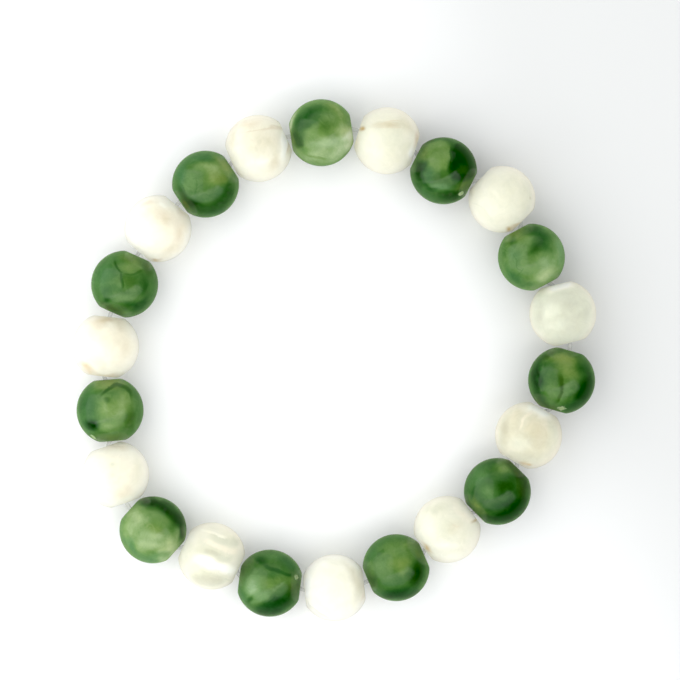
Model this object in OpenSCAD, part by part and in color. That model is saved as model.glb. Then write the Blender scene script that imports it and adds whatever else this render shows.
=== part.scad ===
// A bracelet of round drilled stone beads, green and white in turn, strung on one loop of
// elastic cord and lying flat. Millimetres, +Z up, origin under the middle of the loop.

/* [Beads] */
// Diameter of every bead
bead_d = 8; // [6:0.5:9]
// Diameter of the hole drilled through a bead
hole_d = 1; // [1:0.1:1.2]
// Depth and width of the chamfer at each end of the hole
chamfer = 0.45; // [0.4:0.05:0.5]
// Half-angle, seen from the centre of a green bead, of the flat ground at each end of its hole
green_flat = 23; // [20:1:25]
// The same half-angle on a white bead
white_flat = 27; // [24:1:28]

/* [String] */
// Clear space between neighbouring beads
bead_gap = 0.1; // [0.1:0.02:0.2]
// Diameter of the elastic cord
cord_d = 0.5; // [0.3:0.1:0.5]
// Direction from the first bead to the second, in degrees from +X
first_heading = -7; // [-180:1:180]

/* [Hidden] */
$fn = 64;
bead_r = bead_d / 2;
hole_r = hole_d / 2;
mouth_r = hole_r + chamfer;
cord_sides = 8;
// How far a cutting tool runs out past the surface that it cuts
cut = 1;

// The beads in the order of the string, which runs clockwise seen from above. TURN is how many
// degrees the string turns at the bead, and LEAN how far its hole is turned past the middle of
// that bend. The turns add up to 360.
STONE = 0;
TURN = 1;
LEAN = 2;
string = [
    ["green", 21, -5],
    ["white", 21, 0],
    ["green", -2, 0],
    ["white", 37, 0],
    ["green", -2, 0],
    ["white", 30, 0],
    ["green", 30, 0],
    ["white", -2, 0],
    ["green", 24, 4],
    ["white", 0, 0],
    ["green", 19, 4],
    ["white", 22, 0],
    ["green", 21, -7],
    ["white", -1, 0],
    ["green", 32, 2],
    ["white", 29, 0],
    ["green", 1, 0],
    ["white", 21, 0],
    ["green", 14, 0],
    ["white", 16, 0],
    ["green", 9, 5],
    ["white", 20, 0]
];
bead_count = len(string);

function next(i) = (i + 1) % bead_count;
function unit(angle) = [cos(angle), sin(angle)];
function across(v) = [-v.y, v.x];
function normalised(v) = v / norm(v);
function total(list, last) = last < 0 ? 0 * list[0] : total(list, last - 1) + list[last];

// Directions of the string from each bead to the next, and of each bead's own hole
turns = [for (bead = string) bead[TURN]];
chord = [for (i = [0:bead_count - 1]) first_heading - total(turns, i) + turns[0]];
hole_heading = [for (i = [0:bead_count - 1]) chord[i] + turns[i] / 2 - string[i][LEAN]];

// How far a bead reaches along a line that leaves its centre off_axis degrees from its hole: to
// the edge of its flat, or to its round side where the line passes outside the flat
function flat_angle(i) = string[i][STONE] == "green" ? green_flat : white_flat;
function reach(i, off_axis) = bead_r * cos(max(flat_angle(i) - abs(off_axis), 0));
function reach_back(i) = reach(i, turns[i] / 2 + string[i][LEAN]);
function reach_on(i) = reach(i, turns[i] / 2 - string[i][LEAN]);

// Walk from bead to bead, share out what the loop fails to close by, and centre it by its box
steps = [for (i = [0:bead_count - 1])
    (reach_on(i) + bead_gap + reach_back(next(i))) * unit(chord[i])];
misclosure = total(steps, bead_count - 1);
walked = [for (i = [0:bead_count - 1]) total(steps, i - 1) - misclosure * i / bead_count];
middle = [
    (max([for (p = walked) p.x]) + min([for (p = walked) p.x])) / 2,
    (max([for (p = walked) p.y]) + min([for (p = walked) p.y])) / 2
];
centre = [for (p = walked) p - middle];

// The cord runs straight through each hole and crosses from one mouth to the next midway
// between the two rims that face each other
function half_length(i) = bead_r * cos(flat_angle(i));
function along_hole(i, distance) = centre[i] + distance * unit(hole_heading[i]);
function side_step(i) = let (
        leaves = along_hole(i, half_length(i)),
        enters = along_hole(next(i), -half_length(next(i))),
        out_here = across(unit(hole_heading[i])),
        out_next = across(unit(hole_heading[next(i)]))
    )
    (leaves + enters) / 2
    + sign((enters - leaves) * (out_here + out_next)) * mouth_r / 2 * (out_here - out_next);
route = [for (i = [0:bead_count - 1]) each [
    along_hole(i, chamfer - half_length(i)),
    along_hole(i, half_length(i) - chamfer),
    side_step(i)
]];

// Rings of a level tube that follows a closed route, each square to the bend that it stands on
function tube_rings(route) = let (last = len(route) - 1) [for (k = [0:last])
    let (
        before = normalised(route[k] - route[k == 0 ? last : k - 1]),
        after = normalised(route[k == last ? 0 : k + 1] - route[k]),
        along = normalised(before + after),
        mitre = cord_d / 2 / (along * after)
    )
    for (s = [0:cord_sides - 1])
        let (side = mitre * cos(s * 360 / cord_sides) * across(along))
        [route[k].x + side.x, route[k].y + side.y, bead_r + cord_d / 2 * sin(s * 360 / cord_sides)]
];
function tube_faces(rings) = [for (k = [0:rings - 1], s = [0:cord_sides - 1])
    let (
        here = k * cord_sides,
        there = (k + 1) % rings * cord_sides,
        s_next = (s + 1) % cord_sides
    )
    [here + s, there + s, there + s_next, here + s_next]
];

function same_stone_up_to(i) = len([for (j = [0:i]) if (string[j][STONE] == string[i][STONE]) j]);
function bead_name(i) = let (count = same_stone_up_to(i))
    str(string[i][STONE], "_bead_", count < 10 ? "0" : "", count);

// A ball with a flat ground at each end of the hole, the hole along Z, its mouths chamfered
module drilled_bead(flat) {
    length = bead_d * cos(flat);
    difference() {
        intersection() {
            sphere(d = bead_d);
            cylinder(d = bead_d + cut, h = length, center = true);
        }
        cylinder(d = hole_d, h = bead_d, center = true);
        for (end = [0, 180])
            rotate([end, 0, 0])
                translate([0, 0, length / 2 - chamfer])
                    cylinder(r1 = hole_r, r2 = mouth_r + cut, h = chamfer + cut);
    }
}

// A bead in its place on the string, resting on the table with its hole level
module on_string(i) {
    translate([centre[i].x, centre[i].y, bead_r])
        rotate([0, 90, hole_heading[i]])
            children();
}

module green_bead(i) {
    color("seagreen") on_string(i) drilled_bead(green_flat);
}

module white_bead(i) {
    color("ivory") on_string(i) drilled_bead(white_flat);
}

module bead(i) {
    if (string[i][STONE] == "green") green_bead(i);
    else white_bead(i);
}

module elastic_cord() {
    color("gainsboro") polyhedron(tube_rings(route), tube_faces(len(route)));
}

for (i = [0:bead_count - 1])
    bead(i);
elastic_cord();
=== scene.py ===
# %% [markdown]
# # A bracelet of green and white stone beads
#
# The real thing is twenty-two polished round beads, green agate and milky quartz in turn, drilled
# through and strung on one loop of clear elastic. It lies flat on a white sheet and is
# photographed from straight above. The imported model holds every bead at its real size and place,
# so this lesson dresses those beads: it grows a finely shaped skin for each one, marks the clouds
# and veins of its stone, and lights the table as a small photographer's tent.

import math
from collections import namedtuple

import bpy
import numpy as np
from mathutils import Matrix, Vector


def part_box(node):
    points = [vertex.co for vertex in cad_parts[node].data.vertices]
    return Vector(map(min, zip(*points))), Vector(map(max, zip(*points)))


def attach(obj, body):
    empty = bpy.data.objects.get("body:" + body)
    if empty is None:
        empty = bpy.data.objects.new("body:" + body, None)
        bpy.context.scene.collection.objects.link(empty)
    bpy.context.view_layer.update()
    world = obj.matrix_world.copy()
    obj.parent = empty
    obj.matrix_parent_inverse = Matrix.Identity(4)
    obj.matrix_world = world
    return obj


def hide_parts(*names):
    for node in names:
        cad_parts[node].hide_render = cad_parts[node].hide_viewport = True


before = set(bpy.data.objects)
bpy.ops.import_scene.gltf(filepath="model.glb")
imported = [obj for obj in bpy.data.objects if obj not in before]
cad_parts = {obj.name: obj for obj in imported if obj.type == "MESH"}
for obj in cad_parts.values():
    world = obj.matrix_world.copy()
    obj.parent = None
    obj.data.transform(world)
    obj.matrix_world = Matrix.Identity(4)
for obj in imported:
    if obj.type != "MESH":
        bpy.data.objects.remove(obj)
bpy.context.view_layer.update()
scene = bpy.context.scene
MM = 0.001

# %% [markdown]
# ## The camera
#
# The photograph looks straight down and shows no perspective worth measuring, as a long lens
# does from a step away. A bead of 8 mm is 67 pixels wide in a picture of 680, and that sets how
# much of the table the lens takes in. The loop's middle lies a little left of and below the
# picture's middle, so the camera is moved aside instead of being turned.

# %% Camera
PICTURE_SIDE = 680
BEAD_IN_PHOTO = 67.0
LOOP_MIDDLE_IN_PHOTO = (334.2, 360.2)
BEAD_D = 8 * MM
BEAD_R = BEAD_D / 2
LENS = 200
SENSOR = 36
NEAREST_SEEN = 10 * MM

pixel = BEAD_D / BEAD_IN_PHOTO
table_in_view = PICTURE_SIDE * pixel
camera_data = bpy.data.cameras.new("camera_above")
camera_data.lens = LENS
camera_data.sensor_width = SENSOR
camera_data.clip_start = NEAREST_SEEN
camera = bpy.data.objects.new("camera_above", camera_data)
camera.location = (
    (PICTURE_SIDE / 2 - LOOP_MIDDLE_IN_PHOTO[0]) * pixel,
    (LOOP_MIDDLE_IN_PHOTO[1] - PICTURE_SIDE / 2) * pixel,
    BEAD_R + table_in_view * LENS / SENSOR,
)
scene.collection.objects.link(camera)
scene.camera = camera
print("the camera stands", round(camera.location.z, 3), "m above the table")

# %% [markdown]
# ## Helpers for finishes
#
# Colours are written as the sRGB hex values that an eye reads off a screen, and one function
# turns them to the linear light that Blender works in. Another feeds a node, such as a shader,
# with values and links. The third adds a node to a tree, with its settings and links in one
# call, so that a material reads from top to bottom like a recipe. The last starts a material.

# %% Helpers
def linear(hex_colour):
    channels = [int(hex_colour[i:i + 2], 16) / 255 for i in (1, 3, 5)]
    light = [c / 12.92 if c <= 0.04045 else ((c + 0.055) / 1.055) ** 2.4 for c in channels]
    return (*light, 1.0)


def feed(node, inputs):
    """Gives inputs a value, a socket, or a node, whose first output in use is then taken."""
    for key, value in inputs.items():
        if isinstance(value, bpy.types.Node):
            value = next(socket for socket in value.outputs if socket.enabled)
        if isinstance(value, bpy.types.NodeSocket):
            node.id_data.links.new(value, node.inputs[key])
        else:
            node.inputs[key].default_value = value


def add_node(tree, kind, inputs=None, **settings):
    """Adds a node, which is a ShaderNode if its kind names no other family."""
    node = tree.nodes.new(kind if "Node" in kind else f"ShaderNode{kind}")
    for name, value in settings.items():
        setattr(node, name, value)
    feed(node, inputs or {})
    return node


def new_finish(name):
    """A new material, its tree and its shader."""
    finish = bpy.data.materials.new(name)
    finish.use_nodes = True
    return finish, finish.node_tree, finish.node_tree.nodes["Principled BSDF"]


# The inputs of a Mix node that mixes colours
MIX_FACTOR, MIX_A, MIX_B = 0, 6, 7

# %% [markdown]
# ## The table
#
# The beads lie on plain white paper. In the photograph its white fades towards the right and a
# little upwards, more than the lamps alone account for, so shade painted into the paper's colour
# takes up the rest. The beads there mirror little of the paper, so a glossy ray finds it darker
# than it is.
# Fibres too fine to see from above keep it from looking like plastic in a close view. The sheet is
# one square far larger than the picture.

# %% Table
SHEET_SIDE = 2.4
CLEARANCE = 0.01 * MM
# Which way the shade painted on the paper runs, and where it starts and ends
SHADE_TOWARDS = math.radians(20)
SHADE_START = 3 * MM
SHADE_END = 36 * MM
FIBRE = 0.15 * MM
GLARE_CUT = 0.8

half = SHEET_SIDE / 2
corners = [(-half, -half), (half, -half), (half, half), (-half, half)]
sheet_mesh = bpy.data.meshes.new("paper_sheet")
sheet_mesh.from_pydata([(x, y, -CLEARANCE) for x, y in corners], [], [(0, 1, 2, 3)])
sheet = bpy.data.objects.new("paper_sheet", sheet_mesh)
scene.collection.objects.link(sheet)

# %% Matt white paper
paper, paper_tree, paper_shader = new_finish("matt_white_paper")
paper_place = add_node(paper_tree, "TexCoord").outputs["Object"]
# Painted shade: the paper's colour darkens from #fbfcfc to #dedfde towards the right and a little upwards
way_along = add_node(
    paper_tree, "VectorMath",
    {0: paper_place, 1: (math.cos(SHADE_TOWARDS), math.sin(SHADE_TOWARDS), 0.0)}, operation="DOT_PRODUCT",
)
shade_share = add_node(
    paper_tree, "MapRange",
    {"Value": way_along.outputs["Value"], "From Min": SHADE_START, "From Max": SHADE_END},
    interpolation_type="SMOOTHSTEP",
)
paper_painted_shade = add_node(
    paper_tree, "Mix",
    {MIX_FACTOR: shade_share, MIX_A: linear("#fbfcfc"), MIX_B: linear("#dedfde")}, data_type="RGBA",
)
in_gloss = add_node(paper_tree, "LightPath").outputs["Is Glossy Ray"]
glare_cut = add_node(paper_tree, "MapRange", {"Value": in_gloss, "To Min": 0.0, "To Max": GLARE_CUT})
paper_seen = add_node(
    paper_tree, "Mix",
    {MIX_FACTOR: glare_cut, MIX_A: paper_painted_shade, MIX_B: linear("#000000")}, data_type="RGBA",
)
fibres = add_node(paper_tree, "TexNoise", {"Vector": paper_place, "Scale": 1 / FIBRE, "Detail": 3.0})
paper_grain = add_node(paper_tree, "Bump", {"Strength": 0.2, "Distance": FIBRE / 10, "Height": fibres})
feed(paper_shader, {
    "Base Color": paper_seen, "Normal": paper_grain, "Roughness": 0.9, "Specular IOR Level": 0.2,
})
sheet_mesh.materials.append(paper)
print("paper laid,", SHEET_SIDE, "m square")

# %% [markdown]
# ## The light
#
# Every bead mirrors the lamps. The photograph shows a large pale panel that leans over from the
# left, one from the lower right that is brightest along its upper edge, and a dim one at the back.
# The gap that they leave round the camera is the dark shield in the middle of each bead. Area
# lights that lean like the roof of a tent give that shield and the soft shadows to the upper
# right, and a fourth, which gloss doesn't see, fills in from the right. Each panel's glow runs
# evenly from its foot to its upper edge, as on a cloth lit from one end. The room beyond gives a
# dim light and is nearly black in the beads' gloss, but the camera sees it as pale as the paper.

# %% Lights
TENT_HEIGHT = 0.22


def soft_panel(name, direction, top, foot, foot_height, span, radiance):
    """A panel that leans over the table from a direction in degrees from +X.

    top and foot are how far its upper and lower edges lie from the camera's axis, and span is
    where its two ends lie along it, all in tent heights. radiance is at its foot and its top."""
    turn = math.radians(direction)
    outward = Vector((math.cos(turn), math.sin(turn), 0))
    along = Vector((-math.sin(turn), math.cos(turn), 0))
    upper = (outward * top + Vector((0, 0, 1))) * TENT_HEIGHT
    lower = (outward * foot + Vector((0, 0, foot_height))) * TENT_HEIGHT
    up = (upper - lower).normalized()
    light = bpy.data.lights.new(name, "AREA")
    light.shape = "RECTANGLE"
    light.size = (span[1] - span[0]) * TENT_HEIGHT
    light.size_y = (upper - lower).length
    # With this energy, the strength of the glow on the cloth is its radiance
    light.energy = math.pi * light.size * light.size_y
    light.use_nodes = True
    cloth = light.node_tree
    cloth.nodes.clear()
    on_cloth = add_node(cloth, "NewGeometry").outputs["Parametric"]
    up_cloth = add_node(cloth, "SeparateXYZ", {0: on_cloth}).outputs["Y"]
    glow = add_node(cloth, "MapRange", {"Value": up_cloth, "To Min": radiance[0], "To Max": radiance[1]})
    emission = add_node(cloth, "Emission", {"Strength": glow})
    add_node(cloth, "OutputLight", {0: emission})
    lamp = bpy.data.objects.new(name, light)
    place = (upper + lower) / 2 + along * (span[0] + span[1]) / 2 * TENT_HEIGHT
    facing = Matrix((along, up, along.cross(up))).transposed().to_4x4()
    lamp.matrix_world = Matrix.Translation(place) @ facing
    lamp.visible_camera = False
    scene.collection.objects.link(lamp)
    return lamp


panels = [
    soft_panel("left_panel", 180, 0.18, 1.05, 0.02, (-0.8, 0.6), (1.38, 0.98)),
    soft_panel("front_panel", -63, 0.35, 0.85, 0.45, (-2.1, 0.85), (0.8, 1.75)),
    soft_panel("back_panel", 95, 0.64, 1.1, 0.3, (-0.9, 0.7), (0.7, 0.2)),
    soft_panel("fill_panel", 15, 0.85, 1.25, 0.2, (-0.9, 0.9), (0.5, 0.5)),
]
panels[-1].visible_glossy = False
print(len(panels), "panels hung", TENT_HEIGHT, "m above the table")

# %% The room, and how dark the picture starts
ROOM_LIGHT = 0.62
ROOM_IN_GLOSS = 0.04
ROOM_BEHIND = 1.0
# What is no brighter than this turns black, which deepens the darkest greens a little
BLACK_LEVEL = 0.012

world = bpy.data.worlds.new("tent_room")
world.use_nodes = True
room = world.node_tree
room.nodes.clear()
dim = add_node(room, "Background", {"Color": linear("#f2f4f6"), "Strength": ROOM_LIGHT})
dark = add_node(room, "Background", {"Color": linear("#f2f4f6"), "Strength": ROOM_IN_GLOSS})
pale = add_node(room, "Background", {"Color": linear("#f4f6f6"), "Strength": ROOM_BEHIND})
ray = add_node(room, "LightPath")
lit = add_node(room, "MixShader", {0: ray.outputs["Is Glossy Ray"], 1: dim, 2: dark})
seen = add_node(room, "MixShader", {0: ray.outputs["Is Camera Ray"], 1: lit, 2: pale})
add_node(room, "OutputWorld", {"Surface": seen})
scene.world = world
scene.view_settings.view_transform = "Standard"
scene.view_settings.use_curve_mapping = True
scene.view_settings.curve_mapping.black_level = (BLACK_LEVEL,) * 3
scene.view_settings.curve_mapping.update()
print("the room's light is", ROOM_LIGHT, "of white")

# %% [markdown]
# ## Where each bead lies
#
# A drilled ball is narrowest along its hole, because a small flat is ground round each end. So
# the hole's direction is found by turning a pair of callipers round the solid from the frame, and
# the flats' distance apart is what they read there. The names run along the string, green and
# white in turn.

# %% Measure the beads
STONES = ("green", "white")
BEADS_OF_A_STONE = 11
ROUGH_TURN = 1.0
FINE_TURN = 0.02
Seat = namedtuple("Seat", "name stone number centre heading half_length")


def callipers(solid, degrees):
    """Half the width of a solid across each of these horizontal directions."""
    turns = np.radians(degrees)
    reach = solid[:, :2] @ np.array([np.cos(turns), np.sin(turns)])
    return (reach.max(0) - reach.min(0)) / 2


def seat_of(stone, number):
    name = f"{stone}_bead_{number:02d}"
    low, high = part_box(name)
    centre = (low + high) / 2
    solid = np.array([v.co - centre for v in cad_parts[name].data.vertices])
    rough = np.arange(0, 180, ROUGH_TURN)
    fine = rough[callipers(solid, rough).argmin()] + np.arange(-ROUGH_TURN, ROUGH_TURN, FINE_TURN)
    widths = callipers(solid, fine)
    heading = math.radians(fine[widths.argmin()])
    return Seat(name, stone, number, centre, heading, float(widths.min()))


def string_beads():
    """The seats in the order of the string, with every hole's direction along it."""
    seats = [seat_of(stone, n + 1) for n in range(BEADS_OF_A_STONE) for stone in STONES]
    ordered = []
    for seat, following in zip(seats, seats[1:] + seats[:1]):
        ahead = following.centre - seat.centre
        backwards = ahead.x * math.cos(seat.heading) + ahead.y * math.sin(seat.heading) < 0
        ordered.append(seat._replace(heading=seat.heading + math.pi * backwards))
    return ordered


seats = string_beads()
print(len(seats), "beads, the first one's flats", round(2 * seats[0].half_length / MM, 2), "mm apart")

# %% [markdown]
# ## The shape of a bead
#
# A bead maker tumbles a ball round, grinds a flat at each end of the drilled hole and breaks the
# hole's sharp mouth with a chamfer, and the last polish softens every rim. One could cut that
# from a ball with booleans, but they leave ragged rings of faces. Here a Geometry Nodes tree
# takes an open tube and pulls each ring out to the nearest of three surfaces seen from the
# bead's centre: the ball, the flat and the chamfer. A smooth minimum rolls one into the next.
# Rings crowd towards the ends, where the rims need them, and a second tube lines the bore.

# %% Grow a bead
HOLE_R = 0.5 * MM
CHAMFER = 0.45 * MM
RIM_SOFTNESS = 0.14 * MM
BEAD_SIDES = 136
BEAD_RINGS = 96


def new_tree(name, inputs, output):
    """A Geometry Nodes tree with these named inputs, and the sockets that bring them in."""
    tree = bpy.data.node_groups.new(name, "GeometryNodeTree")
    for label, kind in inputs.items():
        tree.interface.new_socket(label, in_out="INPUT", socket_type=f"NodeSocket{kind}")
    tree.interface.new_socket(output, in_out="OUTPUT", socket_type="NodeSocketGeometry")
    return tree, add_node(tree, "NodeGroupInput").outputs


shape, given = new_tree("drilled_bead", {
    "Radius": "Float", "Half Length": "Float", "Hole Radius": "Float", "Chamfer": "Float",
    "Rim Softness": "Float", "Sides": "Int", "Rings": "Int", "Centre": "Vector", "Heading": "Float",
    "Chip Place": "Vector", "Chip Size": "Float", "Chip Depth": "Float", "Stone": "Material",
}, "Bead")

# %% The tube that becomes the skin
skin = add_node(
    shape, "GeometryNodeMeshCylinder",
    {"Vertices": given["Sides"], "Side Segments": given["Rings"], "Radius": 1.0, "Depth": 2.0},
    fill_type="NONE",
)
spot = add_node(shape, "GeometryNodeInputPosition")
tube = add_node(shape, "SeparateXYZ", {0: spot}).outputs

# Each row is a sum: its name, what is done, and to which numbers, inputs or earlier sums. A slope
# is kept above zero, below which its surface is out of reach
LEAST_SLOPE = 0.001
sums = {socket.name: socket for socket in (*given, *tube)}
for name, operation, *terms in (
    # The mouth of the bore, seen from the centre: how far off the hole's axis the skin starts
    ("bore end", "SUBTRACT", "Half Length", "Chamfer"),
    ("mouth", "ARCTAN2", "bore end", "Hole Radius"),
    # Which way each ring lies from the centre
    ("quarter", "MULTIPLY", "Z", math.pi / 2),
    ("crowded", "SINE", "quarter"),
    ("rise", "MULTIPLY", "crowded", "mouth"),
    ("height", "SINE", "rise"),
    ("girth", "COSINE", "rise"),
    # Distances from the centre to the flat and to the chamfer, that way
    ("steep", "ABSOLUTE", "height"),
    ("steep enough", "MAXIMUM", "steep", LEAST_SLOPE),
    ("to flat", "DIVIDE", "Half Length", "steep enough"),
    ("cone", "SUBTRACT", "bore end", "Hole Radius"),
    ("slope", "SUBTRACT", "steep", "girth"),
    ("slope enough", "MAXIMUM", "slope", LEAST_SLOPE),
    ("to cone", "DIVIDE", "cone", "slope enough"),
    ("rounded", "SMOOTH_MIN", "Radius", "to flat", "Rim Softness"),
    ("nearest", "SMOOTH_MIN", "rounded", "to cone", "Rim Softness"),
    # Where the ring's points go, and how long the bore is
    ("ring", "MULTIPLY", "nearest", "girth"),
    ("across", "MULTIPLY", "X", "ring"),
    ("aside", "MULTIPLY", "Y", "ring"),
    ("along", "MULTIPLY", "nearest", "height"),
    ("bore length", "MULTIPLY", "bore end", 2.0),
):
    numbers = {place: sums.get(term, term) for place, term in enumerate(terms)}
    sums[name] = add_node(shape, "Math", numbers, operation=operation)
pulled = add_node(shape, "CombineXYZ", {0: sums["across"], 1: sums["aside"], 2: sums["along"]})
ball = add_node(shape, "GeometryNodeSetPosition", {"Geometry": skin, "Position": pulled})

# %% The bore, the seam and the place on the string
BORE_RINGS = 6
SEAM = 0.004 * MM
bore = add_node(
    shape, "GeometryNodeMeshCylinder",
    {"Vertices": given["Sides"], "Side Segments": BORE_RINGS,
     "Radius": given["Hole Radius"], "Depth": sums["bore length"]},
    fill_type="NONE",
)
lining = add_node(shape, "GeometryNodeFlipFaces", {0: bore})
both = add_node(shape, "GeometryNodeJoinGeometry", {0: ball})
shape.links.new(lining.outputs[0], both.inputs[0])
closed = add_node(shape, "GeometryNodeMergeByDistance", {"Geometry": both, "Distance": SEAM})
turned = add_node(shape, "CombineXYZ", {1: math.pi / 2, 2: given["Heading"]})
strung = add_node(
    shape, "GeometryNodeTransform", {"Geometry": closed, "Translation": given["Centre"], "Rotation": turned},
)

# %% A chip knocked out of a rim, the stone's own coordinates, and the finish
FLAKE = 0.5 * MM
SHARPEST_SMOOTH = math.radians(32)
from_chip = add_node(shape, "VectorMath", {0: spot, 1: given["Chip Place"]}, operation="DISTANCE")
bite = add_node(
    shape, "MapRange",
    {"Value": from_chip.outputs["Value"], "From Min": 0.0, "From Max": given["Chip Size"],
     "To Min": given["Chip Depth"], "To Max": 0.0},
    interpolation_type="SMOOTHSTEP",
)
# Noise is 0.5 on average, so the ragged bite is doubled to keep its depth, and minus is inward
ragged = add_node(shape, "TexNoise", {"Vector": spot, "Scale": 1 / FLAKE, "Detail": 2.0})
ragged_bite = add_node(shape, "Math", {0: bite, 1: ragged}, operation="MULTIPLY")
inward = add_node(shape, "Math", {0: ragged_bite, 1: -2.0}, operation="MULTIPLY")
facing = add_node(shape, "GeometryNodeInputNormal")
push = add_node(shape, "VectorMath", {0: facing, "Scale": inward}, operation="SCALE")
chipped = add_node(shape, "GeometryNodeSetPosition", {"Geometry": strung, "Offset": push})
from_centre = add_node(shape, "VectorMath", {0: spot, 1: given["Centre"]}, operation="SUBTRACT")
per_radius = add_node(shape, "Math", {0: 1.0, 1: given["Radius"]}, operation="DIVIDE")
in_radii = add_node(shape, "VectorMath", {0: from_centre, "Scale": per_radius}, operation="SCALE")
marked = add_node(
    shape, "GeometryNodeStoreNamedAttribute", {"Geometry": chipped, "Name": "stone", "Value": in_radii},
    data_type="FLOAT_VECTOR", domain="POINT",
)
bend = add_node(shape, "GeometryNodeInputMeshEdgeAngle")
gentle = add_node(
    shape, "FunctionNodeCompare", {0: bend, 1: SHARPEST_SMOOTH}, data_type="FLOAT", operation="LESS_THAN",
)
smooth = add_node(
    shape, "GeometryNodeSetShadeSmooth", {"Geometry": marked, "Shade Smooth": gentle}, domain="EDGE",
)
real = add_node(shape, "GeometryNodeRealizeInstances", {"Geometry": smooth})
dressed = add_node(shape, "GeometryNodeSetMaterial", {"Geometry": real, "Material": given["Stone"]})
add_node(shape, "NodeGroupOutput", {0: dressed})
print(len(shape.nodes), "nodes shape a bead")


# %% Run a tree
def grow(name, tree, start, values):
    """Runs a tree on a new object and keeps what it makes as that object's plain mesh."""
    piece = bpy.data.objects.new(name, start)
    modifier = piece.modifiers.new("grow", "NODES")
    modifier.node_group = tree
    for socket in tree.interface.items_tree:
        if socket.in_out == "INPUT" and socket.name in values:
            modifier[socket.identifier] = values[socket.name]
    scene.collection.objects.link(piece)
    depsgraph = bpy.context.evaluated_depsgraph_get()
    grown = bpy.data.meshes.new_from_object(
        piece.evaluated_get(depsgraph), preserve_all_data_layers=True, depsgraph=depsgraph,
    )
    bpy.data.objects.remove(piece)
    grown.name = name
    piece = bpy.data.objects.new(name, grown)
    scene.collection.objects.link(piece)
    return piece


# %% [markdown]
# ## The marks in each stone
#
# No two stones are alike, so a short chart says what the photograph shows on each. It is
# painted in this order, like layers, and counts in hundredths. Tone runs from 0, the darkest, to
# 100, the palest, and warmth from 0, cool, to 100, stained by iron. Places and sizes are in
# hundredths of a bead's radius, from its middle, x to the right and y to the top of the picture.
# A patch is a stretched ball of colour in the stone, turned by so many degrees, and its edge is
# soft at 0 and sharp at 100. A tone above 100 is painted light, laid where a patch lies in shade
# near the rim or on a flat. A streak is a bent band or a thin vein that runs down into it, sag
# is how far it bends, and cover how much of it shows. Patches are worked out at the mesh's
# points, which slow crossing waves stir, so that their edges wander. A streak's edge is finer
# than the mesh, so only the distance to it is kept there, and the material draws it.

# %% Kinds of mark
# What each row of the chart gives, in this order
Patch = namedtuple("Patch", "tone warmth x y length width turn edge", defaults=(0, 0))
Streak = namedtuple("Streak", "tone warmth x1 y1 x2 y2 sag width cover", defaults=(100,))
Chip = namedtuple("Chip", "x y size")
Look = namedtuple("Look", "tone warmth patches streaks chip", defaults=((), None))
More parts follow.
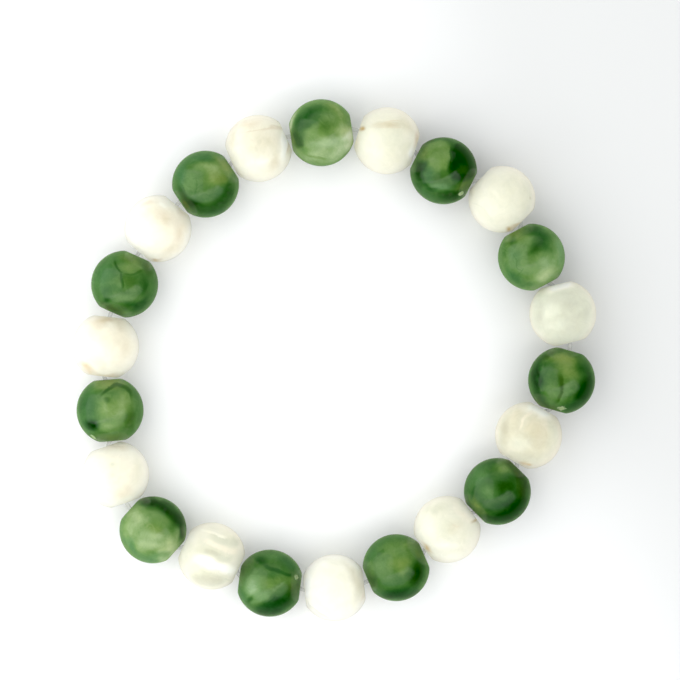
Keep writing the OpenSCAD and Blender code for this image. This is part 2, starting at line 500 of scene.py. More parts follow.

# %% The green stones, from the one at the top of the picture clockwise
# A tone above 100 is painted light, laid on a patch in shade near the rim or on a flat
GREEN_LOOKS = [Look(60, 42, patches=(
    (50, 38, -10, 66, 60, 28, 8), (72, 55, 44, 72, 42, 18, -28), (110, 30, -84, 30, 36, 14, 80),
    (68, 45, 66, 30, 24, 16, -65), (20, 30, -46, 42, 50, 26, 45), (42, 48, 14, 12, 36, 22),
    (30, 38, -30, 26, 34, 18, 20), (110, 16, 70, -36, 34, 32, 10), (84, 46, 72, 6, 42, 22, 5),
    (120, 24, 86, -26, 34, 14, 80), (80, 24, 42, -42, 72, 24, 4, 10), (82, 30, -6, -78, 70, 22),
    (90, 24, 55, -66, 34, 18, 40), (56, 36, -54, -58, 30, 15, -45), (22, 44, -60, -10, 44, 24, 80),
), streaks=(
    (14, 60, -76, 0, -62, -55, 6, 12, 80), (46, 85, -90, 5, -82, -45, 5, 5, 60),
    (52, 45, -70, -58, 30, -88, -10, 2, 50),
)), Look(32, 42, patches=(
    (50, 62, -60, 42, 50, 22, 60), (56, 46, -14, 42, 68, 36, 80, 65), (66, 40, -24, 76, 36, 20, 5, 30),
    (0, 40, 62, 40, 60, 47, 78, 82), (0, 40, 45, 2, 38, 38, 0, 50), (20, 55, 46, 0, 28, 20),
    (34, 75, 52, -46, 44, 20, 35, 30), (34, 48, -14, -22, 28, 24), (-6, 42, -72, -4, 34, 18, 85, 10),
    (36, 25, -46, -18, 26, 18, 70, 20), (50, 20, -18, -50, 42, 14, -5, 20),
    (12, 40, 22, -74, 44, 18, 10, 20), (38, 25, -58, -68, 40, 18, -45),
), streaks=(
    (14, 35, -70, -12, -20, -58, -14, 4.5, 60), (10, 50, 21, 80, 13, -5, 2, 2, 60),
), chip=(52, -70, 18)), Look(56, 38, patches=(
    (52, 60, -50, 58, 46, 24, 35), (8, 50, -4, 76, 28, 16), (66, 14, 84, 20, 60, 22, 85),
    (26, 26, 22, 60, 52, 26, -62), (26, 45, 4, 28, 40, 20, 50), (70, 28, 50, -16, 44, 28, 60),
    (84, 36, 36, -56, 52, 24, 26), (46, 25, -55, 5, 34, 26, 80), (38, 20, -52, -62, 40, 18, -45),
    (48, 30, -12, -76, 36, 14), (32, 45, -60, 46, 16, 10, 60),
), streaks=(
    (34, 40, -74, 55, -80, -10, -5, 5, 50), (38, 35, -28, -28, -55, -62, 2, 2, 40),
    (38, 35, -62, 10, -30, -42, -10, 2, 40),
)), Look(36, 45, patches=(
    (60, 72, 6, 58, 50, 30), (22, 70, -42, 74, 30, 18, 35), (58, 60, 16, 20, 34, 28, 80),
    (-6, 35, -70, 2, 66, 22, 88), (36, 35, -50, 12, 32, 22, 60), (52, 42, -34, -38, 30, 20, 40),
    (50, 35, 7, -38, 44, 14, 66, 20), (22, 40, 66, 34, 40, 24, 60), (-24, 35, 72, -28, 50, 29, 70),
    (14, 30, 42, -70, 44, 20, 30), (30, 75, -45, -78, 40, 15, -25), (16, 40, -66, -55, 26, 14, -50),
), streaks=(
    (14, 35, -62, 50, -66, -30, -10, 4, 60), (20, 70, -10, 12, -14, -62, 6, 4, 80),
), chip=(-4, -84, 25)), Look(30, 40, patches=(
    (50, 25, -58, 55, 54, 28, 45), (26, 50, 5, 76, 42, 14, 5), (58, 48, 10, 74, 36, 20, 12),
    (48, 35, -32, 10, 30, 30), (16, 50, 16, 20, 36, 22, -10, 10), (10, 80, 66, 46, 45, 18, -50),
    (12, 75, 76, 0, 44, 20, 85), (10, 35, 22, -36, 48, 20, 25), (48, 72, -64, -44, 38, 15, -55),
    (30, 70, -36, -74, 30, 15, -35), (-18, 32, 55, -56, 54, 28, 40), (-5, 35, 5, -82, 56, 18, 5),
), streaks=(
    (16, 35, -70, 25, -80, -28, -3, 3.5, 60), (18, 70, 8, 86, 46, 60, 12, 3, 60),
    (18, 70, 46, 62, 58, 5, 3, 3, 60),
)), Look(42, 42, patches=(
    (46, 25, -66, 52, 50, 20, 45), (56, 42, 8, 66, 60, 26), (52, 36, -42, 12, 30, 34),
    (58, 58, 14, 18, 34, 30), (40, 75, 58, 50, 45, 18, -50), (4, 52, 62, -20, 48, 24, 78),
    (36, 34, -8, -42, 50, 16), (6, 24, 5, -80, 74, 22, 2), (18, 60, -70, -42, 40, 18, -62),
    (46, 30, -48, -70, 18, 12, -40), (56, 50, 18, -6, 18, 12),
), streaks=(
    (26, 40, -52, 46, -26, 64, 2, 4, 50),
)), Look(40, 42, patches=(
    (52, 30, 5, 84, 40, 14), (34, 50, -66, 44, 44, 24, 60), (14, 35, -26, 72, 30, 12, -15),
    (38, 20, 56, 64, 40, 18, -40), (72, 16, -52, -4, 44, 36, 70), (56, 45, 2, 6, 34, 24),
    (42, 30, 25, 40, 35, 14), (26, 80, 72, -6, 45, 22, 85), (6, 30, 36, -48, 54, 26, 22),
    (6, 20, 2, -76, 60, 20, 8), (62, 24, -24, -36, 40, 18, 20), (44, 22, -78, -34, 36, 13, -65),
    (52, 48, 46, 20, 32, 18, -10), (26, 40, -56, -40, 12, 8, 50),
), streaks=(
    (14, 35, -14, 66, 74, 33, -3, 4.5, 70), (56, 35, 50, 18, 10, -22, 2, 3, 50),
), chip=(80, 20, 19)), Look(58, 38, patches=(
    (78, 38, -54, 24, 50, 34, 60), (60, 52, 6, 10, 30, 24), (86, 45, 56, -30, 42, 26, 30),
    (80, 36, -6, -44, 50, 20), (92, 42, 42, -66, 42, 20, 36), (96, 36, 42, -84, 30, 12, 28),
    (54, 12, -62, -42, 40, 14, -50), (74, 36, -4, -14, 36, 20), (56, 15, -10, -82, 60, 15),
    (0, 48, 50, 66, 72, 24, -40), (-10, 45, -10, 90, 50, 15, -2), (14, 50, 58, 38, 24, 15, -55),
    (10, 50, 86, 2, 34, 10, -80),
), streaks=(
    (0, 50, -56, 86, 98, -10, 44, 16.5, 75), (60, 45, -30, 42, 40, 30, 8, 3, 30),
)), Look(46, 38, patches=(
    (64, 62, 10, 80, 60, 20), (32, 26, -68, 10, 66, 28, 85), (72, 44, 50, 20, 50, 34, 60),
    (68, 45, -2, 12, 38, 32), (30, 60, 74, -26, 42, 16, 82), (64, 40, 5, -42, 46, 20),
    (36, 70, 2, -84, 70, 16), (36, 25, -66, -55, 30, 15, -50), (32, 50, -5, 34, 11, 9),
    (-14, 40, -50, -46, 30, 19, 25),
), streaks=(
    (18, 55, -24, 46, 80, 34, 34, 5, 85), (34, 50, -40, -64, 10, -62, -4, 2, 60),
), chip=(-48, -80, 22)), Look(44, 38, patches=(
    (42, 22, -58, 30, 55, 34, 70), (48, 65, 30, 74, 45, 18, -25), (60, 50, 24, 50, 46, 16, -10),
    (40, 50, 14, 12, 32, 20), (28, 38, 64, -8, 38, 20, 80), (30, 60, 76, 42, 28, 14, -60),
    (56, 34, 14, -44, 44, 16, 15), (34, 30, -50, -24, 32, 16, 25), (40, 38, -10, -20, 28, 16),
    (14, 34, 38, -60, 40, 18, 26), (20, 70, -34, -78, 50, 14, -24), (18, 40, -48, -50, 16, 11, 10),
    (30, 50, 10, -72, 30, 12),
), streaks=(
    (20, 50, -26, 80, -10, 36, -5, 3.5, 75), (20, 50, -10, 38, -3, -18, 1, 3.5, 75),
    (26, 50, 0, 37, 66, 36, -3, 2.5, 50),
)), Look(46, 38, patches=(
    (44, 18, -10, 80, 70, 20), (42, 15, -76, 25, 60, 16, 80), (68, 45, 14, 48, 45, 18),
    (60, 66, 56, 54, 45, 20, -60), (50, 35, -40, 10, 30, 32), (70, 60, 30, 18, 34, 28),
    (54, 65, 52, 8, 26, 18), (40, 34, -2, -46, 34, 14, 10), (-2, 48, -46, -60, 42, 18, -38),
    (36, 30, 40, -36, 34, 16, 45), (30, 22, 30, -88, 60, 10, 8), (14, 55, -68, -38, 34, 14, -40),
    (34, 110, -62, -64, 24, 10, -55, 20),
), streaks=(
    (10, 45, 78, 6, -34, -72, 36, 15, 75), (40, 40, -26, 15, -28, -35, 3, 2, 50),
    (28, 40, -80, -5, -62, -28, 2, 3, 60),
))]

# %% The white stones, from the one after the first green stone clockwise
# A tone above 100 is painted light, laid on a patch in shade near the rim or on a flat
WHITE_LOOKS = [Look(50, 12, patches=(
    (50, 5, 20, 5, 30, 30), (50, 10, 0, 82, 60, 16), (30, 30, 64, 46, 40, 20, 120),
    (32, 40, 4, 45, 48, 14, 6, 30), (120, 0, 80, -34, 34, 14, 75), (20, 85, 86, -5, 34, 10, 80),
    (68, 5, -35, -20, 50, 50), (40, 50, -90, -10, 30, 12, 85), (4, 95, -71, 31, 11, 9, 20, 20),
), streaks=(
    (30, 40, -32, 33, 50, 40, -2, 2, 70), (32, 50, -20, 45, 46, 58, 10, 2, 70),
)), Look(48, 10, patches=(
    (60, 8, -10, -5, 60, 55), (26, 8, 74, 10, 70, 22, 84), (48, 5, 20, 75, 70, 22),
    (42, 4, -60, -48, 50, 20, -50), (22, 70, 35, -84, 36, 9, 24, 20), (-20, 110, 11, -93, 10, 7),
), streaks=(
    (10, 20, 73, 9, 73, 0, 0, 2.5, 80), (34, 10, -92, -8, -36, -52, 2, 2, 70),
)), Look(25, 2, patches=(
    (22, 0, 55, 20, 70, 35, 80), (50, 0, -44, -2, 28, 34, 80, 20), (42, 0, -12, -42, 34, 16, 10),
    (34, 0, 22, 2, 24, 12, 40), (2, 0, -80, -12, 62, 16, -80), (130, 2, -26, 80, 50, 18, 10),
    (30, 0, 15, 30, 30, 12),
), streaks=(
    (20, 0, -64, 38, -64, -32, -4, 3, 50), (18, 0, -20, 35, 45, 12, 6, 3, 40),
)), Look(34, 26, patches=(
    (30, 36, -35, 62, 45, 20, 35), (42, 36, 26, 30, 38, 36, 60), (30, 12, 68, 0, 60, 22, 85),
    (40, 12, -26, -22, 38, 26), (26, 16, 10, -66, 56, 24), (0, 16, -76, 14, 60, 24, 88),
    (120, 10, 30, 76, 50, 20, -22), (2, 95, -6, -86, 13, 8),
), streaks=(
    (62, 50, 12, 80, -34, 12, 2, 3, 45), (30, 40, 20, 66, -22, 6, 2, 3, 50),
    (30, 20, 45, 35, 42, -30, 5, 3, 40),
)), Look(52, 8, patches=(
    (30, 10, -30, 72, 50, 18, 16), (66, 2, -55, 12, 40, 30, 80), (48, 22, 32, 22, 32, 22, 20),
    (84, 50, 62, 54, 48, 18, -45), (78, 2, -10, -40, 48, 16), (64, 0, 10, -80, 50, 16),
    (12, 95, -63, -53, 26, 11, -48, 10), (0, 90, 84, 22, 12, 6, -50),
), streaks=(
    (34, 40, 20, 26, 46, 20, 0, 2, 60), (30, 50, -52, -84, -76, -40, 2, 2, 60),
)), Look(82, 14, patches=(
    (62, 8, 5, 86, 70, 16), (40, 25, 82, 10, 60, 14, 85), (30, 60, 92, -10, 30, 7, 80),
    (110, 10, -84, 5, 44, 16, 85), (36, 34, 64, 42, 38, 16, -60), (70, 4, 10, 45, 50, 16),
), streaks=(
    (40, 5, -90, -45, -20, -95, -10, 2, 70),
)), Look(48, 15, patches=(
    (68, 24, -55, 58, 50, 24, 30), (40, 5, 0, -94, 60, 8), (86, 14, -76, 32, 44, 16, 66),
    (6, 8, -8, -68, 58, 22, -6, 40), (14, 10, -92, 0, 14, 7, 80),
), streaks=(
    (26, 10, 0, 62, 95, 34, 3, 11), (62, 30, -10, 40, 92, 2, 3, 8), (80, 10, -35, 76, 44, 66, 3, 4, 80),
    (24, 10, -12, 8, 72, -18, 2, 8), (12, 10, -10, 8, 34, -2, 0, 6, 70),
    (100, 2, -50, -12, 92, -55, 2, 12, 90), (16, 10, -30, -40, 62, -74, -2, 2, 80),
)), Look(74, 30, patches=(
    (52, 20, 72, 20, 60, 20, 80), (58, 55, 5, 84, 55, 12), (48, 55, 34, -52, 28, 18, 20),
    (52, 10, 2, 32, 14, 10), (56, 10, -5, -2, 14, 10), (80, 10, -45, -20, 40, 50),
), streaks=(
    (44, 50, -20, 88, 25, 86, 0, 2, 60),
)), Look(70, 36, patches=(
    (20, 80, 2, 78, 50, 18), (44, 45, 45, 64, 40, 20, -40), (56, 45, 60, 2, 50, 22, 85),
    (28, 80, -10, -86, 60, 14, 0, 20), (30, 85, -52, -68, 34, 14, -55), (86, 8, -20, -5, 35, 45, 85),
), streaks=(
    (30, 60, -45, -90, 30, -92, 0, 2, 60),
)), Look(76, 32, patches=(
    (52, 55, 30, 40, 40, 26, -20), (52, 60, 70, -15, 60, 22, 80), (88, 15, 22, 75, 13, 8, -30, 30),
    (54, 80, 72, 50, 30, 10, -55), (50, 60, -20, 78, 26, 12, 10), (90, 5, -30, -20, 50, 40),
    (-10, 100, -8, -93, 18, 7, 10), (44, 44, 36, -68, 42, 14, 24),
)), Look(60, 26, patches=(
    (46, 50, -35, 72, 50, 16, 25), (50, 30, 20, 18, 40, 20), (130, 0, 80, 24, 54, 18, 80),
    (84, 4, -5, -50, 50, 26), (45, 40, 56, -42, 34, 20, 80), (34, 80, 94, 10, 30, 6, 88),
    (62, 12, -50, -10, 30, 30), (26, 30, -78, 20, 50, 18, 80),
), streaks=(
    (36, 55, -42, 36, 70, 62, 10, 2.5, 70), (40, 55, 5, 54, 72, 60, 5, 5, 60),
    (40, 60, 30, 66, 86, 52, 4, 2, 60), (44, 30, -88, 30, -30, 84, 6, 3, 50),
))]

# %% The chart in shares
def as_shares(kind, row):
    """A row of the chart as a mark in shares of 1 instead of hundredths. Its turn stays in degrees."""
    mark = kind(*row)
    return mark._replace(**{name: size / 100 for name, size in mark._asdict().items() if name != "turn"})


def charted(tone, warmth, patches, streaks, chip):
    return Look(
        tone / 100, warmth / 100, [as_shares(Patch, row) for row in patches],
        [as_shares(Streak, row) for row in streaks], chip and as_shares(Chip, chip),
    )


LOOKS = {
    stone: [charted(*look) for look in looks]
    for stone, looks in zip(STONES, (GREEN_LOOKS, WHITE_LOOKS))
}
print(sum(len(look.patches) for look in LOOKS["green"]), "patches on the green stones")

# %% How marks spread
# How strongly the waves stir a mark, and how steep they are, from the slowest to the quickest
STIR = 0.08
WAVES = 16
SLOWEST_WAVE = 2.0
QUICKEST_WAVE = 9.0
# How deep a mark reaches at least, in radii, and how far out a soft patch fades, in outlines
LEAST_DEPTH = 0.3
SOFT_REACH = 1.5
# How far a wobble of 1 moves a streak, in radii
WAVER = 0.03
# Painted light and shade: how much paler the tone is painted with each radius down a stone's side,
# and the height where it is as charted. The white stones are painted paler round the edge and
# darker on top, the green ones darker round the edge
PAINTED_EDGE_SHADING = {"green": -0.15, "white": 0.50}
UNCHANGED_AT = {"green": 0.95, "white": 0.68}
# How far apart two stones are cut from the same noise, in millimetres
NEXT_IN_NOISE = np.array([23.0, 11.0, 17.0])
MOST_STREAKS = {stone: max(len(look.streaks) for look in looks) for stone, looks in LOOKS.items()}


# %% Where a patch and a streak show
def ease(share):
    """A soft step from 0 to 1."""
    share = np.clip(share, 0, 1)
    return share * share * (3 - 2 * share)


def on_ball(mark):
    """Where a mark lies on the upper half of the ball, in radii."""
    return np.array([mark.x, mark.y, math.sqrt(max(0.0, 1 - mark.x ** 2 - mark.y ** 2))])


def stirred(stone, seed):
    """The points of a stone, moved a little by crossing waves, so that what is drawn there wanders."""
    draw = np.random.default_rng(seed)
    moved = stone.copy()
    for steepness in np.linspace(SLOWEST_WAVE, QUICKEST_WAVE, WAVES):
        course, push = draw.normal(size=(2, 3))
        phase = draw.uniform(0, 2 * math.pi)
        moved += STIR / steepness * np.outer(np.sin(steepness * stone @ course + phase), push)
    return moved


def patch_cover(points, patch):
    """How strongly a patch covers each point, from 0 to 1."""
    turn = math.radians(patch.turn)
    offset = points - on_ball(patch)
    lengthwise = (offset[:, 0] * math.cos(turn) + offset[:, 1] * math.sin(turn)) / patch.length
    sideways = (offset[:, 1] * math.cos(turn) - offset[:, 0] * math.sin(turn)) / patch.width
    down = offset[:, 2] / max(patch.length, LEAST_DEPTH)
    far = np.sqrt(lengthwise ** 2 + sideways ** 2 + down ** 2)
    outer = SOFT_REACH + (1 - SOFT_REACH) * patch.edge
    inner = outer * patch.edge
    return ease((outer - far) / (outer - inner))


def along_streak(points, streak):
    """Across a streak in its own half-widths, along it from -1 to 1, and how much of it shows."""
    start, end = np.array([streak.x1, streak.y1]), np.array([streak.x2, streak.y2])
    chord = end - start
    length = np.linalg.norm(chord)
    direction = chord / length
    flat = points[:, :2] - (start + end) / 2
    along = flat @ direction / (length / 2)
    across = flat @ np.array([-direction[1], direction[0]]) - streak.sag * (1 - along ** 2)
    shown = ease(points[:, 2] / (2 * LEAST_DEPTH) + 0.5) * streak.cover
    return np.column_stack([across / streak.width, along, shown])


# %% Marks written on a bead's mesh
def keep(mesh, name, values):
    """Stores one number or one vector for each point of a mesh."""
    kind, field = ("FLOAT", "value") if values.ndim == 1 else ("FLOAT_VECTOR", "vector")
    layer = mesh.attributes.new(name, kind, "POINT")
    layer.data.foreach_set(field, values.astype(np.float32).ravel())


def mark_stone(mesh, look, seed, kind):
    """Writes what the materials read: tone, warmth, chip, streaks and the stone's place in its noise."""
    stone = np.zeros(len(mesh.vertices) * 3, np.float32)
    mesh.attributes["stone"].data.foreach_get("vector", stone)
    stone = stone.reshape(-1, 3).astype(float)
    points = stirred(stone, seed)
    tone = np.full(len(stone), look.tone)
    warmth = np.full(len(stone), look.warmth)
    chip = np.zeros(len(stone))
    for patch in look.patches:
        cover = patch_cover(points, patch)
        tone += (patch.tone - tone) * cover
        warmth += (patch.warmth - warmth) * cover
    if look.chip:
        far = np.linalg.norm(stone - on_ball(look.chip), axis=1)
        chip = np.clip(1 - far / look.chip.size, 0, 1)
    # Painted light and shade by height on the ball, as set above
    tone += PAINTED_EDGE_SHADING[kind] * (UNCHANGED_AT[kind] - stone[:, 2])
    keep(mesh, "tone", tone)
    keep(mesh, "warmth", warmth)
    keep(mesh, "chip", chip)
    for number in range(MOST_STREAKS[kind]):
        course, colour = np.zeros_like(stone), np.zeros_like(stone)
        if number < len(look.streaks):
            streak = look.streaks[number]
            course = along_streak(points, streak)
            colour[:] = streak.tone, streak.warmth, WAVER / streak.width
        keep(mesh, f"streak_{number + 1}", course)
        keep(mesh, f"streak_{number + 1}_colour", colour)
    keep(mesh, "cloud_place", stone * BEAD_R / MM + seed * NEXT_IN_NOISE)


# %% [markdown]
# ## What is inside a stone
#
# Both stones are quartz and grew in the same way, so their colours are made by the same nodes,
# built in each one's own tree. The charted tone is broken up by veils of noise a few millimetres
# across and by finer wisps. These are measured in millimetres on the stone's own coordinates, so
# they also cover the sides and the underside that the photograph doesn't show. The streaks are
# laid first, each with a wobble taken from the wisps. Both are polished alike, with the slow
# ripple that tumbling leaves.

# %% A streak in a stone
# Where it fades across, in its half-widths, and along, in shares of half its length
SIDES_FADE = (0.4, 1.8)
ENDS_FADE = (0.6, 1.15)


def draw_streak(tree, name, wobble, tone, warmth):
    """Lays one streak over a tone and a warmth, and returns the new two."""
    course, colour = (
        add_node(tree, "SeparateXYZ", {
            0: add_node(tree, "Attribute", attribute_name=kept).outputs["Vector"],
        }).outputs
        for kept in (name, f"{name}_colour")
    )
    wavering = add_node(tree, "Math", {0: wobble, 1: colour["Z"], 2: course["X"]}, operation="MULTIPLY_ADD")
    shares = []
    for distance, (whole, gone) in ((wavering, SIDES_FADE), (course["Y"], ENDS_FADE)):
        away = add_node(tree, "Math", {0: distance}, operation="ABSOLUTE")
        shares.append(add_node(
            tree, "MapRange",
            {"Value": away, "From Min": whole, "From Max": gone, "To Min": 1.0, "To Max": 0.0},
            interpolation_type="SMOOTHSTEP",
        ))
    line = add_node(tree, "Math", {0: shares[0], 1: shares[1]}, operation="MULTIPLY")
    cover = add_node(tree, "Math", {0: line, 1: course["Z"]}, operation="MULTIPLY")
    new_tone = add_node(tree, "Mix", {0: cover, 2: tone, 3: colour["X"]}, data_type="FLOAT")
    new_warmth = add_node(tree, "Mix", {0: cover, 2: warmth, 3: colour["Y"]}, data_type="FLOAT")
    return new_tone, new_warmth


# %% Tone and warmth in a stone
# A wobble runs from minus half of this to half of this
WOBBLE = 3.0


def stone_colours(tree, stone, cloudiness, veil_mm, wisp_mm):
    """Tone and warmth as charted, with streaks and noise, and where the stone lies in its noise."""
    cloud_place = add_node(tree, "Attribute", attribute_name="cloud_place").outputs["Vector"]
    veil = add_node(
        tree, "TexNoise",
        {"Vector": cloud_place, "Scale": 1 / veil_mm, "Detail": 3.0, "Roughness": 0.5, "Distortion": 1.2},
    )
    wisp = add_node(
        tree, "TexNoise",
        {"Vector": cloud_place, "Scale": 1 / wisp_mm, "Detail": 5.0, "Roughness": 0.65, "Distortion": 1.5},
    )
    wobble = add_node(tree, "Math", {0: wisp, 1: WOBBLE, 2: -WOBBLE / 2}, operation="MULTIPLY_ADD")
    tone = add_node(tree, "Attribute", attribute_name="tone").outputs["Fac"]
    warmth = add_node(tree, "Attribute", attribute_name="warmth").outputs["Fac"]
    for number in range(MOST_STREAKS[stone]):
        tone, warmth = draw_streak(tree, f"streak_{number + 1}", wobble, tone, warmth)
    # Each noise is 0.5 on average, so the two add one cloudiness, which is taken off again
    for noise in (veil, wisp):
        tone = add_node(tree, "Math", {0: noise, 1: cloudiness, 2: tone}, operation="MULTIPLY_ADD")
    tone = add_node(tree, "Math", {0: tone, 1: cloudiness}, operation="SUBTRACT")
    return tone, warmth, cloud_place


# %% Colour ramps, and the polish
# The ripple's width in millimetres, as the noise is counted, and its depth
RIPPLE = 1.6
RIPPLE_DEPTH = 0.012 * MM


def set_stops(ramp, colours):
    """Spreads hex colours evenly along a colour ramp, from its darkest stone, and returns it."""
    points = ramp.color_ramp.elements
    points.remove(points[1])
    points[0].position, points[0].color = 0.0, linear(colours[0])
    for number, colour in enumerate(colours[1:], 1):
        points.new(number / (len(colours) - 1)).color = linear(colour)
    return ramp


def polish(tree, cloud_place):
    """The slow ripple in a polished face, which bends what the face mirrors."""
    ripple = add_node(tree, "TexNoise", {"Vector": cloud_place, "Scale": 1 / RIPPLE, "Detail": 1.0})
    return add_node(tree, "Bump", {"Strength": 1.0, "Distance": RIPPLE_DEPTH, "Height": ripple})


# %% [markdown]
# ## Green agate
#
# A glassy polish over clouds that run from near black to pale jade, olive where iron has crept in
# beside the flats and bluish where it hasn't. Three ramps of the same tone, one for each cast,
# are mixed by the warmth. The gloss comes from quartz's own IOR with hardly any roughness. Light
# that sinks in and spreads softens the clouds, and a faint green sheen stands for the light that
# comes out round the edge. A chip in a rim shows paler and dull, its outline broken by fine noise.

# %% Green agate
NEUTRAL_WARMTH = 0.45

green_agate, agate_tree, agate_shader = new_finish("polished_green_agate")
agate_tone, agate_warmth, agate_place = stone_colours(
    agate_tree, "green", cloudiness=0.20, veil_mm=3.0, wisp_mm=1.0,
)
agate_plain, agate_olive, agate_cool = (
    set_stops(add_node(agate_tree, "ValToRGB", {0: agate_tone}), colours)
    for colours in (
        ("#0a3307", "#244f1a", "#446a2e", "#6a874a", "#97a877", "#bfc9a6"),
        ("#1a3007", "#344c12", "#576923", "#7d873f", "#a5a86c", "#c9ca9e"),
        ("#0a3513", "#20522b", "#406d44", "#658b61", "#93ab8a", "#bccab3"),
    )
)
iron, cool = (
    add_node(agate_tree, "MapRange", {"Value": agate_warmth, "From Min": NEUTRAL_WARMTH, "From Max": end})
    for end in (1.0, 0.0)
)
with_iron = add_node(
    agate_tree, "Mix", {MIX_FACTOR: iron, MIX_A: agate_plain, MIX_B: agate_olive}, data_type="RGBA",
)
all_greens = add_node(
    agate_tree, "Mix", {MIX_FACTOR: cool, MIX_A: with_iron, MIX_B: agate_cool}, data_type="RGBA",
)

# %% A chip's face, and the agate's shader
CHIP_OUTLINE = (0.95, 1.15)
POLISHED, BROKEN = 0.05, 0.45
QUARTZ_IOR = 1.54

chip_near = add_node(agate_tree, "Attribute", attribute_name="chip").outputs["Fac"]
flakes = add_node(
    agate_tree, "TexNoise",
    {"Vector": agate_place, "Scale": MM / FLAKE, "Detail": 2.0, "Roughness": 0.6},
)
chip_broken = add_node(agate_tree, "Math", {0: chip_near, 1: flakes}, operation="ADD")
agate_chip = add_node(
    agate_tree, "MapRange",
    {"Value": chip_broken, "From Min": CHIP_OUTLINE[0], "From Max": CHIP_OUTLINE[1]},
)
agate_colour = add_node(
    agate_tree, "Mix",
    {MIX_FACTOR: agate_chip, MIX_A: all_greens, MIX_B: linear("#8b9d74")}, data_type="RGBA",
)
agate_rough = add_node(agate_tree, "MapRange", {"Value": agate_chip, "To Min": POLISHED, "To Max": BROKEN})
feed(agate_shader, {
    "Base Color": agate_colour, "Roughness": agate_rough, "Normal": polish(agate_tree, agate_place),
    "IOR": QUARTZ_IOR, "Specular IOR Level": 0.32,
    "Subsurface Weight": 1.0, "Subsurface Radius": (1.0, 1.0, 1.0), "Subsurface Scale": 8.0 * MM,
    "Sheen Weight": 0.5, "Sheen Roughness": 0.4, "Sheen Tint": linear("#b4dc98"),
})
print(len(agate_tree.nodes), "nodes make green agate")

# %% [markdown]
# ## Milky quartz
#
# Nearly the white of the paper, with grey-green depths and pinkish tan where iron has stained it.
# Two ramps, plain milk and tan, are mixed by the warmth. Light sinks in and comes out again beside
# where it fell, which is subsurface scattering, the red of it going furthest. A warm sheen keeps
# the round edge as pale as the photograph shows it.

# %% Milky quartz
milky_quartz, quartz_tree, quartz_shader = new_finish("polished_milky_quartz")
quartz_tone, quartz_warmth, quartz_place = stone_colours(
    quartz_tree, "white", cloudiness=0.28, veil_mm=2.6, wisp_mm=1.2,
)
quartz_milk, quartz_tan = (
    set_stops(add_node(quartz_tree, "ValToRGB", {0: quartz_tone}), colours)
    for colours in (
        ("#bec0b0", "#cfd2c0", "#e1e1ce", "#f0eeda", "#fcfae8"),
        ("#b8944c", "#cfba94", "#dfcdb6", "#eddeca", "#f8eddd"),
    )
)
quartz_colour = add_node(
    quartz_tree, "Mix",
    {MIX_FACTOR: quartz_warmth, MIX_A: quartz_milk, MIX_B: quartz_tan}, data_type="RGBA",
)
feed(quartz_shader, {
    "Base Color": quartz_colour, "Normal": polish(quartz_tree, quartz_place),
    "Roughness": 0.06, "IOR": QUARTZ_IOR, "Specular IOR Level": 0.18,
    "Subsurface Weight": 1.0, "Subsurface Radius": (1.0, 0.95, 0.85), "Subsurface Scale": 6.0 * MM,
    "Sheen Weight": 1.0, "Sheen Roughness": 0.45, "Sheen Tint": linear("#fff8e8"),
})
STONE_FINISH = {"green": green_agate, "white": milky_quartz}
print(len(quartz_tree.nodes), "nodes make milky quartz")

# %% [markdown]
# ## The beads, one by one
#
# Each bead is its own piece with its own mesh, so that it can be lifted off the string. The tree
# grows it where the solid lies, the chart marks its stone, and it then stands for that solid.

# %% Beads
CHIP_DEPTH = 0.12 * MM


def make_bead(seat):
    look = LOOKS[seat.stone][seat.number - 1]
    chip = look.chip or Chip(0, 0, 0)
    bead = grow(f"{seat.name}_polished", shape, bpy.data.meshes.new("seed"), {
        "Radius": BEAD_R, "Half Length": seat.half_length, "Hole Radius": HOLE_R,
        "Chamfer": CHAMFER, "Rim Softness": RIM_SOFTNESS, "Sides": BEAD_SIDES, "Rings": BEAD_RINGS,
        "Centre": seat.centre, "Heading": seat.heading,
        "Chip Place": seat.centre + BEAD_R * Vector(on_ball(chip)),
        "Chip Size": max(chip.size * BEAD_R / 2, CLEARANCE),
        "Chip Depth": CHIP_DEPTH if look.chip else 0.0,
        "Stone": STONE_FINISH[seat.stone],
    })
    seed = seat.number + BEADS_OF_A_STONE * STONES.index(seat.stone)
    mark_stone(bead.data, look, seed, seat.stone)
    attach(bead, "root")
    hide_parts(seat.name)
    return bead


beads = [make_bead(seat) for seat in seats]
print(len(beads), "beads of", len(beads[0].data.polygons), "faces")

# %% [markdown]
# ## The elastic
#
# One loop of clear elastic runs through every bead. It can hardly be seen: only a pale thread
# crosses each narrow gap. It goes straight through a bead and bends between two of them, midway
# between the rims that face each other. The bends are known from the beads' own seats, so the
# route is worked out from those, and a short tree rounds its corners and sweeps a circle along it.

# %% The elastic's route
MOUTH_R = HOLE_R + CHAMFER


def in_hole(seat, distance):
    """A point on a bead's hole, this far from its middle."""
    return seat.centre + distance * Vector((math.cos(seat.heading), math.sin(seat.heading), 0))


def cord_route(seats):
    route = []
    for seat, following in zip(seats, seats[1:] + seats[:1]):
        inside = seat.half_length - CHAMFER
        leaves = in_hole(seat, seat.half_length)
        enters = in_hole(following, -following.half_length)
        out_here = Vector((-math.sin(seat.heading), math.cos(seat.heading), 0))
        out_next = Vector((-math.sin(following.heading), math.cos(following.heading), 0))
        side = math.copysign(MOUTH_R / 2, (enters - leaves).dot(out_here + out_next))
        route += [in_hole(seat, -inside), in_hole(seat, inside)]
        route.append((leaves + enters) / 2 + side * (out_here - out_next))
    return route


route = cord_route(seats)
lengths = [(b - a).length for a, b in zip(route, route[1:] + route[:1])]
print("the elastic is", round(sum(lengths) / MM, 1), "mm round")

# %% Grow the elastic
CORD_R = 0.245 * MM
CORD_SIDES = 16
CORNER_R = 0.6 * MM
CORNER_STEPS = 5

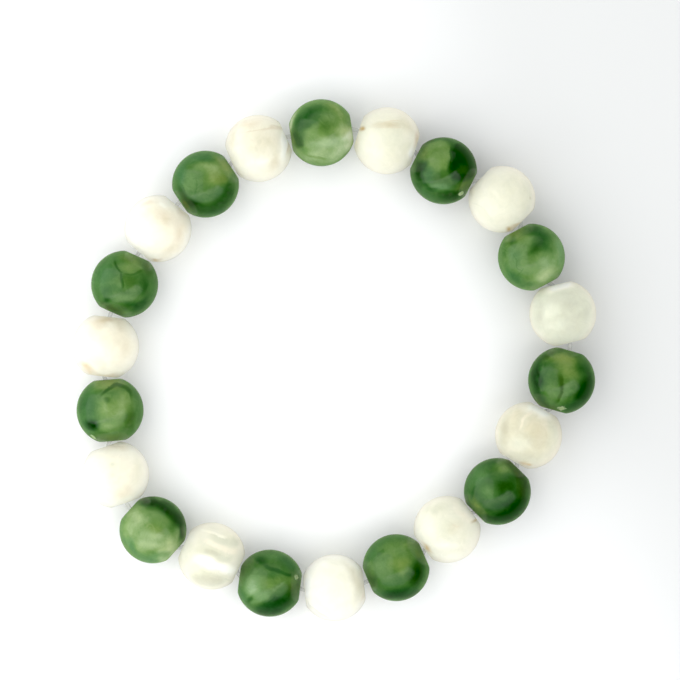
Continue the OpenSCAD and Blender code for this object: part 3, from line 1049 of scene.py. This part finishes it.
sweep, cord_given = new_tree("swept_elastic", {
    "Route": "Geometry", "Radius": "Float", "Sides": "Int",
    "Corner Radius": "Float", "Corner Steps": "Int", "Elastic": "Material",
}, "Cord")
line = add_node(sweep, "GeometryNodeMeshToCurve", {0: cord_given["Route"]})
rounded_line = add_node(
    sweep, "GeometryNodeFilletCurve",
    {"Curve": line, "Count": cord_given["Corner Steps"], "Radius": cord_given["Corner Radius"],
     "Limit Radius": True},
    mode="POLY",
)
ring_of_cord = add_node(
    sweep, "GeometryNodeCurvePrimitiveCircle",
    {"Resolution": cord_given["Sides"], "Radius": cord_given["Radius"]},
)
swept = add_node(sweep, "GeometryNodeCurveToMesh", {"Curve": rounded_line, "Profile Curve": ring_of_cord})
soft_cord = add_node(sweep, "GeometryNodeSetShadeSmooth", {"Geometry": swept, "Shade Smooth": True})
real_cord = add_node(sweep, "GeometryNodeRealizeInstances", {"Geometry": soft_cord})
dressed_cord = add_node(
    sweep, "GeometryNodeSetMaterial", {"Geometry": real_cord, "Material": cord_given["Elastic"]},
)
add_node(sweep, "NodeGroupOutput", {0: dressed_cord})

# %% Clear elastic
# Stretched clear plastic: it is mostly see-through, so that the paper's white shows in it, with a
# faint milkiness, a soft sheen and a fine grain from its pull
GRAIN = 0.12 * MM
clear_elastic, elastic_tree, elastic_shader = new_finish("clear_elastic_cord")
elastic_place = add_node(elastic_tree, "TexCoord").outputs["Object"]
milkiness = add_node(
    elastic_tree, "TexNoise", {"Vector": elastic_place, "Scale": 1 / (8 * GRAIN), "Detail": 2.0},
)
elastic_colour = add_node(
    elastic_tree, "Mix",
    {MIX_FACTOR: milkiness, MIX_A: linear("#fafaf6"), MIX_B: linear("#fefefc")}, data_type="RGBA",
)
pull = add_node(elastic_tree, "TexNoise", {"Vector": elastic_place, "Scale": 1 / GRAIN})
pull_grain = add_node(elastic_tree, "Bump", {"Strength": 0.3, "Distance": GRAIN / 10, "Height": pull})
feed(elastic_shader, {
    "Base Color": elastic_colour, "Normal": pull_grain, "Roughness": 0.35, "IOR": 1.45, "Alpha": 0.25,
})

# %% The elastic in its place
route_mesh = bpy.data.meshes.new("route")
steps = [(k, (k + 1) % len(route)) for k in range(len(route))]
route_mesh.from_pydata(route, steps, [])
cord = grow("elastic_cord_clear", sweep, route_mesh, {
    "Radius": CORD_R, "Sides": CORD_SIDES,
    "Corner Radius": CORNER_R, "Corner Steps": CORNER_STEPS, "Elastic": clear_elastic,
})
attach(cord, "root")
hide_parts("elastic_cord")
print("the elastic has", len(cord.data.polygons), "faces")
